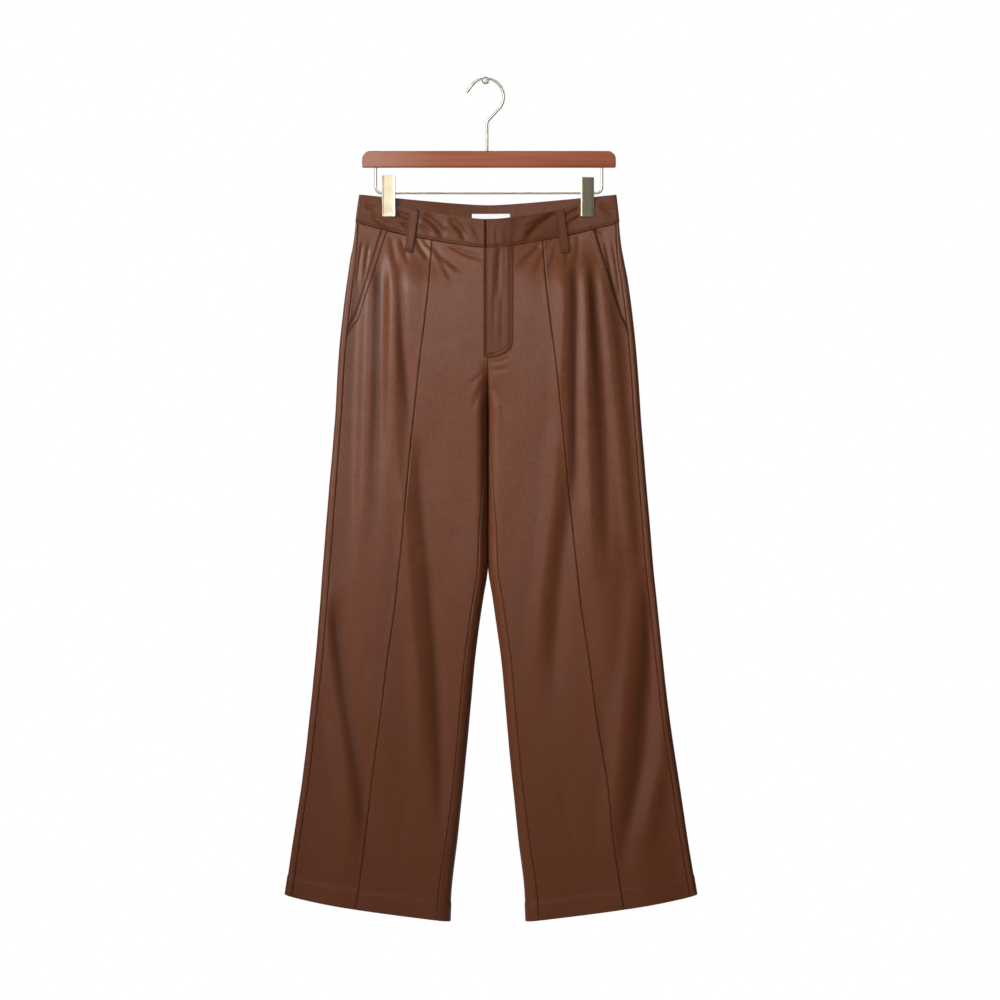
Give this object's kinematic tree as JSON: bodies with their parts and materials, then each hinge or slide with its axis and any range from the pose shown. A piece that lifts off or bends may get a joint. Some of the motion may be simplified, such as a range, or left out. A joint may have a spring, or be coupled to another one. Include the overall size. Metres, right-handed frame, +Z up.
{
  "type": "faux leather trousers on a clip hanger",
  "caption": "Wide-leg brown faux leather trousers, clipped by the waistband to a slim wooden hanger that hangs from a wall pin.",
  "frame": {"origin": "hang point: the underside of the hook's crown, where it rests on the wall pin", "axes": "+Z up, +X to the right as seen from the front, +Y towards the wall; the fronts of the trousers face -Y"},
  "size_m": [0.606, 0.0589, 1.2409],
  "materials": {
    "leather": "brown coated cloth with a fine grain and a soft satin sheen",
    "wood": "reddish brown stained wood, satin varnish",
    "wire": "satin nickel wire",
    "clip": "satin champagne-coloured sheet metal",
    "label": "plain white woven tape, bare"
  },
  "bodies": {
    "root": {"waistband_front_left": "leather", "waistband_front_right": "leather", "waistband_back": "leather", "inner_label": "label", "belt_loop_front_left": "leather", "belt_loop_front_right": "leather", "belt_loop_back_left": "leather", "belt_loop_back_centre": "leather", "belt_loop_back_right": "leather", "front_inner_left": "leather", "front_inner_right": "leather", "front_outer_left": "leather", "front_outer_right": "leather", "pocket_bearer_left": "leather", "pocket_bearer_right": "leather", "pocket_welt_left": "leather", "pocket_welt_right": "leather", "fly_placket": "leather", "back_left": "leather", "back_right": "leather", "hem_left": "leather", "hem_right": "leather", "hook": "wire", "clip_rod": "wire", "hanger_bar": "wood", "clip_left_front_jaw": "clip", "clip_left_back_jaw": "clip", "clip_left_sleeve": "wire", "clip_right_front_jaw": "clip", "clip_right_back_jaw": "clip", "clip_right_sleeve": "wire", "wall_pin": "wire"}
  },
  "joints": []
}
